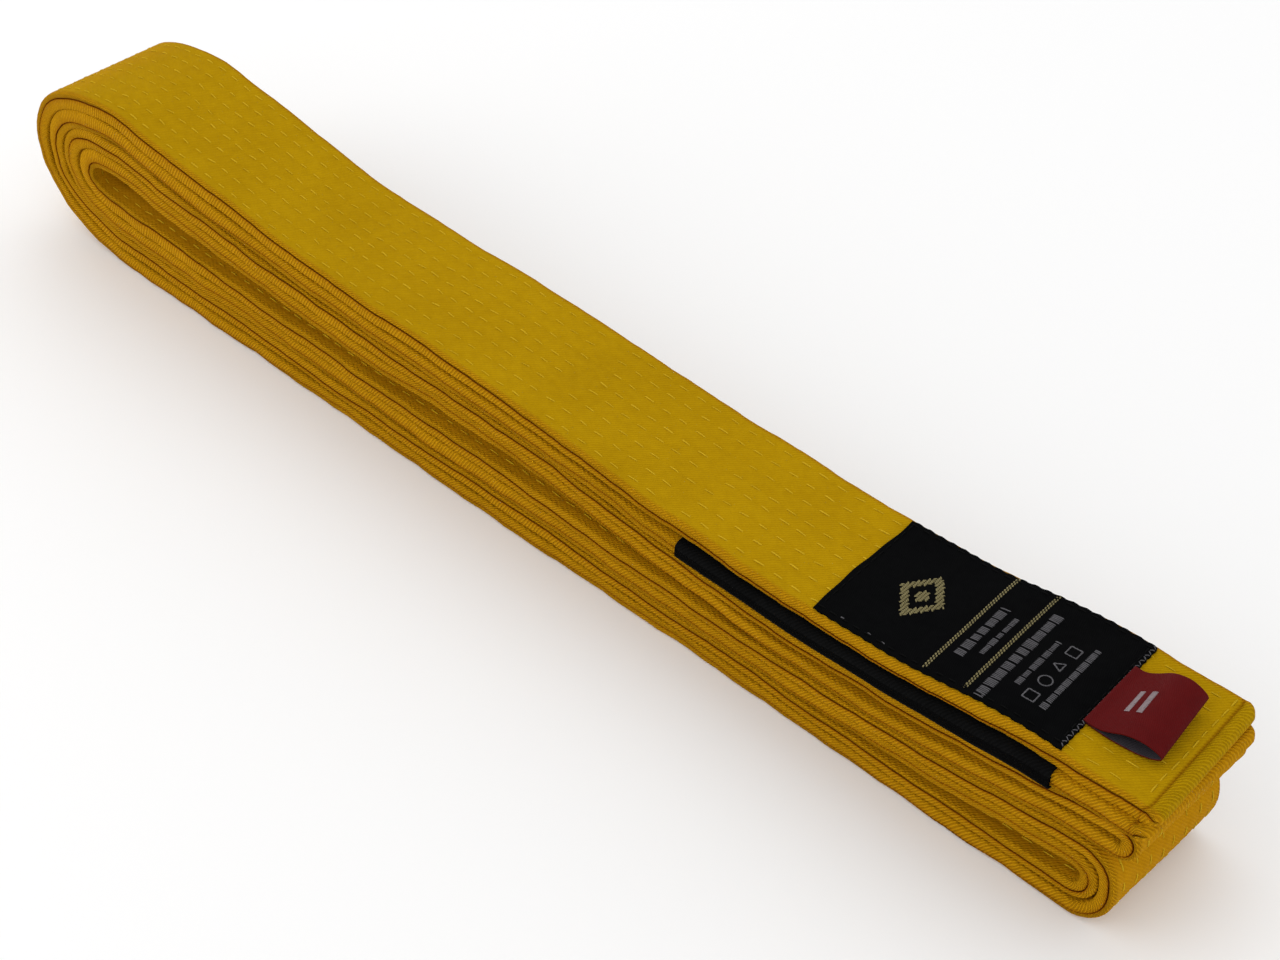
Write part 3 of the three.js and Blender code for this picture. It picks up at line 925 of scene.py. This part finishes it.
# Shader node groups
def nodeIn(tree, kind, inputs=(), **settings):
    made = tree.nodes.new("ShaderNode" + kind)
    for key, value in settings.items():
        setattr(made, key, value)
    for key, value in dict(inputs).items():
        if isinstance(value, bpy.types.NodeSocket):
            tree.links.new(value, made.inputs[key])
        else:
            made.inputs[key].default_value = value
    return made


def mathOf(tree, operation, *values):
    return nodeIn(tree, "Math", dict(enumerate(values)), operation=operation).outputs[0]


def vectorOf(tree, operation, inputs):
    return nodeIn(tree, "VectorMath", inputs, operation=operation).outputs[0]


def noiseOf(tree, place, scale, detail, roughness=0.5):
    inputs = {"Vector": place, "Scale": scale, "Detail": detail, "Roughness": roughness}
    return nodeIn(tree, "TexNoise", inputs).outputs


# From 0 to 1 and back, once for every whole step of the value
def waveOf(tree, value):
    sine = mathOf(tree, "SINE", mathOf(tree, "MULTIPLY", value, 6.2832))
    return mathOf(tree, "MULTIPLY_ADD", sine, 0.5, 0.5)


def newGroup(name, inputs, outputs):
    tree = bpy.data.node_groups.new(name, "ShaderNodeTree")
    newSocket = tree.interface.new_socket
    for socket, kind, value in inputs:
        made = newSocket(name=socket, in_out="INPUT", socket_type="NodeSocket" + kind)
        if value is not None:
            made.default_value = value
    for socket, kind in outputs:
        newSocket(name=socket, in_out="OUTPUT", socket_type="NodeSocket" + kind)
    return tree, tree.nodes.new("NodeGroupInput").outputs, tree.nodes.new("NodeGroupOutput").inputs


def makeTwillGroup():
    tree, given, result = newGroup("twillWeave", [
        ("Vector", "Vector", None), ("Pitch", "Float", 0.001), ("Slope", "Float", 1.0),
        ("Broken", "Float", 0.4),
    ], [("Height", "Float"), ("Shade", "Float")])
    wander = noiseOf(tree, given["Vector"], 260.0, 2.0)["Color"]
    offset = vectorOf(tree, "SUBTRACT", {0: wander, 1: (0.5, 0.5, 0.5)})
    scaled = vectorOf(tree, "SCALE", {0: offset, "Scale": 0.0009})
    moved = vectorOf(tree, "ADD", {0: given["Vector"], 1: scaled})
    parts = nodeIn(tree, "SeparateXYZ", {0: moved}).outputs
    u, v = (mathOf(tree, "DIVIDE", parts[key], given["Pitch"]) for key in "XY")
    rib = mathOf(tree, "ADD", u, mathOf(tree, "MULTIPLY", v, given["Slope"]))
    ridge = waveOf(tree, rib)
    step = mathOf(tree, "MULTIPLY", mathOf(tree, "FLOOR", rib), 0.5)
    bump = waveOf(tree, mathOf(tree, "ADD", mathOf(tree, "MULTIPLY", v, 1.35), step))
    cut = mathOf(tree, "MULTIPLY", mathOf(tree, "SUBTRACT", 1.0, bump), given["Broken"])
    height = mathOf(tree, "MULTIPLY", mathOf(tree, "POWER", ridge, 0.7),
                    mathOf(tree, "SUBTRACT", 1.0, cut))
    fuzz = noiseOf(tree, given["Vector"], 2600.0, 3.0)["Fac"]
    height = mathOf(tree, "MULTIPLY_ADD", fuzz, 0.3, height)
    tree.links.new(height, result["Height"])
    tree.links.new(mathOf(tree, "MULTIPLY", height, 0.8), result["Shade"])
    return tree


def mixColours(tree, factor, first, second, blendType="MIX"):
    made = nodeIn(tree, "Mix", data_type="RGBA", blend_type=blendType)
    sockets = [s for s in made.inputs if s.enabled]
    for socket, value in zip(sockets, (factor, first, second)):
        if isinstance(value, bpy.types.NodeSocket):
            tree.links.new(value, socket)
        else:
            socket.default_value = value
    return [s for s in made.outputs if s.enabled][0]


def makeToneGroup():
    tree, given, result = newGroup("clothTone", [
        ("Vector", "Vector", None), ("Light", "Color", (1, 1, 1, 1)),
        ("Dark", "Color", (0, 0, 0, 1)), ("Shade", "Float", 0.5), ("Weave", "Float", 0.5),
        ("Edge", "Float", 0.0), ("Seam", "Float", 0.0), ("Edge Tint", "Color", (1, 1, 1, 1)),
        ("Seam Tint", "Color", (1, 1, 1, 1)),
    ], [("Color", "Color"), ("Roughness", "Float")])
    wide = noiseOf(tree, given["Vector"], 45.0, 4.0, 0.6)["Fac"]
    fine = noiseOf(tree, given["Vector"], 420.0, 3.0, 0.65)["Fac"]
    mixed = mathOf(tree, "MULTIPLY_ADD", wide, 0.5, mathOf(tree, "MULTIPLY", fine, 0.5))
    weave = mathOf(tree, "MULTIPLY", mathOf(tree, "SUBTRACT", given["Shade"], 0.5), given["Weave"])
    level = nodeIn(tree, "MapRange", {"Value": mixed, "From Min": 0.3, "From Max": 0.7,
                                      "To Min": 0.2, "To Max": 0.8}).outputs[0]
    factor = nodeIn(tree, "Math", {0: level, 1: weave}, operation="ADD", use_clamp=True).outputs[0]
    out = mixColours(tree, factor, given["Dark"], given["Light"])
    # Painted shade: two tints multiplied in by their shares, a warm one for bounce light on faces
    # in shade and a dark red-brown one for the shadow in the seam and hem grooves
    for share in ("Edge", "Seam"):
        tinted = mixColours(tree, 1.0, out, given[share + " Tint"], "MULTIPLY")
        out = mixColours(tree, given[share], out, tinted)
    tree.links.new(out, result["Color"])
    rough = nodeIn(tree, "MapRange", {"Value": factor, "To Min": 1.0, "To Max": 0.86})
    tree.links.new(rough.outputs[0], result["Roughness"])
    return tree


twillGroup, toneGroup = makeTwillGroup(), makeToneGroup()


# Lengths in metres; what a look leaves out is that of plain thread
def clothMaterial(name, light, dark, pitch=0.0005, slope=0.8, broken=0.1, weave=0.5,
                  relief=0.00006, roughness=0.8, specular=0.02, paintedBounceTint=None, grooveShadeTint=None,
                  faceRelief=1.0):
    material = bpy.data.materials.new(name)
    material.use_nodes = True
    tree = material.node_tree
    shader = tree.nodes["Principled BSDF"]
    place = nodeIn(tree, "UVMap", uv_map="clothUV").outputs[0]
    twill = nodeIn(tree, "Group", node_tree=twillGroup)
    tree.links.new(place, twill.inputs["Vector"])
    for key, value in (("Pitch", pitch), ("Slope", slope), ("Broken", broken)):
        twill.inputs[key].default_value = value
    tone = nodeIn(tree, "Group", node_tree=toneGroup)
    tree.links.new(place, tone.inputs["Vector"])
    tree.links.new(twill.outputs["Shade"], tone.inputs["Shade"])
    for key, value in (("Light", (*light, 1)), ("Dark", (*dark, 1)), ("Weave", weave)):
        tone.inputs[key].default_value = value
    height = twill.outputs["Height"]
    if paintedBounceTint:
        # Painted shade from point attributes: a warm bounce tint on faces in shade and a dark
        # red-brown tint in the seam and hem grooves; the edge share only scales relief and weave
        edge, seam, paintedBounce = (
            nodeIn(tree, "Attribute", attribute_name=key + "Share").outputs["Fac"]
            for key in ("edge", "seam", "paintedBounce")
        )
        tree.links.new(paintedBounce, tone.inputs["Edge"])
        tree.links.new(seam, tone.inputs["Seam"])
        tone.inputs["Edge Tint"].default_value = (*paintedBounceTint, 1)
        tone.inputs["Seam Tint"].default_value = (*grooveShadeTint, 1)
        share = mathOf(tree, "MULTIPLY_ADD", edge, 1 - faceRelief, faceRelief)
        height = mathOf(tree, "MULTIPLY", height, share)
        tree.links.new(mathOf(tree, "MULTIPLY", share, weave), tone.inputs["Weave"])
    tree.links.new(tone.outputs["Color"], shader.inputs["Base Color"])
    rough = mathOf(tree, "MULTIPLY", tone.outputs["Roughness"], roughness)
    tree.links.new(rough, shader.inputs["Roughness"])
    bump = nodeIn(tree, "Bump", {"Strength": 1.0, "Distance": relief, "Height": height})
    tree.links.new(bump.outputs[0], shader.inputs["Normal"])
    shader.inputs["Specular IOR Level"].default_value = specular
    return material


looks = {
    "yellowCotton": {
        "light": (0.5, 0.295, 0.0022), "dark": (0.35, 0.19, 0.0012), "pitch": 0.00096,
        "slope": 1.0, "broken": 0.45, "weave": 1.5, "relief": 0.00038, "roughness": 0.95,
        # Tints for painted shade: a warm one for bounce light on faces in shade, a dark red-brown
        # one for the shadow in the seam and hem grooves
        "paintedBounceTint": (1.13, 0.94, 1.7), "grooveShadeTint": (0.5, 0.22, 0.14), "faceRelief": 0.3,
    },
    "yellowThread": {"light": (0.72, 0.47, 0.022), "dark": (0.57, 0.36, 0.009)},
    "blackWebbing": {
        "light": (0.006, 0.006, 0.0062), "dark": (0.002, 0.002, 0.002), "pitch": 0.001,
        "slope": 0.7, "broken": 0.4, "weave": 0.6, "relief": 0.0002, "roughness": 0.9,
    },
    "blackLabel": {
        "light": (0.0038, 0.004, 0.0042), "dark": (0.0018, 0.0018, 0.002), "pitch": 0.00045,
        "slope": 0.3, "broken": 0.5, "roughness": 0.85, "specular": 0.01,
    },
    "blackThread": {
        "light": (0.007, 0.007, 0.0072), "dark": (0.003, 0.003, 0.003), "relief": 0.00008,
        "roughness": 0.7,
    },
    "goldThread": {
        "light": (0.34, 0.29, 0.13), "dark": (0.14, 0.115, 0.045), "roughness": 0.5,
        "specular": 0.3,
    },
    "greyThread": {"light": (0.16, 0.155, 0.165), "dark": (0.08, 0.078, 0.085)},
    "redSatin": {
        "light": (0.105, 0.0028, 0.0032), "dark": (0.07, 0.0015, 0.002), "pitch": 0.0004,
        "slope": 0.35, "broken": 0.3, "relief": 0.00004, "roughness": 0.6, "specular": 0.06,
    },
    "greyLining": {
        "light": (0.075, 0.066, 0.078), "dark": (0.03, 0.026, 0.031), "slope": 0.35,
        "broken": 0.3,
    },
    "paleThread": {"light": (0.4, 0.34, 0.35), "dark": (0.28, 0.21, 0.22)},
}
finishes = {name: clothMaterial(name, **look) for name, look in looks.items()}
print("materials made")


def finish(piece, *names):
    for name in names:
        piece.data.materials.append(finishes[name])
    return piece


# The pieces of the belt, each from one place along it to another, and the stretch where each would
# bend; no bend is applied, a piece named in the blends only has its transform baked
cutAt = {"upper": 243.2, "folded": 200.0}
bendAt = {"upper": (243.5, 268.5), "lower": (214.0, 243.0)}
cutUpper, cutFolded = (arcAt("run1", cutAt[key]) for key in ("upper", "folded"))
cutLower = arcAt("run2", cutAt["folded"])
pieceEnds = {
    "beltUpperEnd": (0.0, cutUpper, 1.5), "beltUpperMiddle": (cutUpper, cutFolded, 1.5),
    "beltFolded": (cutFolded, cutLower, 3.0), "beltLowerEnd": (cutLower, beltLength, 1.8),
}
standsFor = {
    "beltUpperEnd": "upper_end", "beltUpperMiddle": "bridge", "beltFolded": "folded",
    "beltLowerEnd": "lower_end",
}
blends = {
    "beltUpperEnd": ("lower_end", "upper_end", *bendAt["upper"]),
    "beltUpperMiddle": ("folded_bundle", "lower_end", *bendAt["lower"]),
    "beltLowerEnd": ("folded_bundle", "lower_end", *bendAt["lower"]),
}


def moveWith(piece, owner):
    if owner not in blends:
        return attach(piece, "folded_bundle")
    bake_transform(piece)


for name, (start, end, step) in pieceEnds.items():
    stretch = standsFor[name]
    piece = finish(makeCloth(name, start, end, step), "yellowCotton")
    moveWith(piece, name)
    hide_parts("cover_" + stretch, *[f"core_ply_{k}_{stretch}" for k in (1, 2)],
                f"edge_seam_thread_{stretch}")
    for face, surface in (("Label", labelFace), ("Inner", innerFace)):
        stitches = makeStitches(name + "Stitches" + face, start, end, surface)
        finish(stitches, "yellowThread")
        moveWith(stitches, name)
        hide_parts(*[f"stitch_row_{k}_{stretch}" for k in range(1, 9)])
    if name in ("beltUpperEnd", "beltLowerEnd"):
        hem = finish(makeHemStitches(name + "HemStitches", name == "beltUpperEnd"), "yellowThread")
        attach(hem, stretch)
        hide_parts(*[f"hem_thread_{k}_{stretch}" for k in (1, 2)])

labelPiece = finish(makeLabel(), "blackLabel")
for piece, finishName, nodes in (
    (makeLabelSewing(), "blackThread", ["near", "far", "left", "right"]),
    (makeLabelEdging(), "greyThread", []), (makeGoldLines(), "goldThread", []),
    (makeMotif(), "goldThread", []), (makeGreyMarks(), "greyThread", []),
):
    finish(piece, finishName)
    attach(piece, "upper_end")
    if nodes:
        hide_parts(*["label_thread_" + side for side in nodes])
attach(labelPiece, "upper_end")
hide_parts("label")
print("label made")

barPiece = finish(makeBar(), "blackWebbing")
barSewing = finish(makeBarStitches(), "blackThread")
for piece in (barPiece, barSewing):
    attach(piece, "lower_end")
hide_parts("rank_bar")
print("rank bar made")

tagPiece = finish(makeTag(), "redSatin", "greyLining")
tagMarks = finish(makeTagMarks(), "paleThread")
for piece in (tagPiece, tagMarks):
    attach(piece, "size_tag")
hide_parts("size_tag")
print("size tag made")

# Floor, light and camera
floorMesh = bpy.data.meshes.new("floor")
floorCorners = [(20 * a, 20 * b, -0.0001) for a, b in ((-1, -1), (1, -1), (1, 1), (-1, 1))]
floorMesh.from_pydata(floorCorners, [], [(0, 1, 2, 3)])
floorFinish = bpy.data.materials.new("paleFloor")
floorFinish.use_nodes = True
floorShader = floorFinish.node_tree.nodes["Principled BSDF"]
floorShader.inputs["Base Color"].default_value = (0.96, 0.96, 0.96, 1)
floorShader.inputs["Roughness"].default_value = 0.9
floorMesh.materials.append(floorFinish)
addObject("floor", floorMesh)

world = bpy.data.worlds.new("studio")
bpy.context.scene.world = world
world.use_nodes = True
background = world.node_tree.nodes["Background"].inputs
background["Color"].default_value = (1, 1, 1, 1)
background["Strength"].default_value = 0.9


def addLight(name, size, energy, place, aim):
    lamp = bpy.data.lights.new(name, "AREA")
    lamp.size, lamp.energy = size, energy
    holder = addObject(name, lamp)
    holder.location = place
    holder.rotation_euler = (Vector(aim) - Vector(place)).to_track_quat("-Z", "Y").to_euler()


addLight("topLight", 1.2, 2.2, (-0.3, 0.5, 1.4), (0, 0, 0))
addLight("sideLight", 0.9, 3.6, (-0.75, -0.85, 0.42), (-0.05, 0, 0.02))

camera = bpy.data.cameras.new("camera")
camera.lens, camera.sensor_width = 53.54, 36
cameraHolder = addObject("camera", camera)
lookAlong = Vector((-0.486, 0.540, -0.687)).normalized()
side = lookAlong.cross(Vector((0, 0, 1))).normalized()
top = side.cross(lookAlong)
roll = math.radians(0.97)
right = side * math.cos(roll) + top * math.sin(roll)
above = right.cross(lookAlong)
turn = Matrix((right, above, -lookAlong)).transposed()
cameraHolder.matrix_world = Matrix.Translation((0.2577, -0.2488, 0.3369)) @ turn.to_4x4()
bpy.context.scene.camera = cameraHolder
bpy.context.scene.view_settings.view_transform = "Standard"
print("stage set")
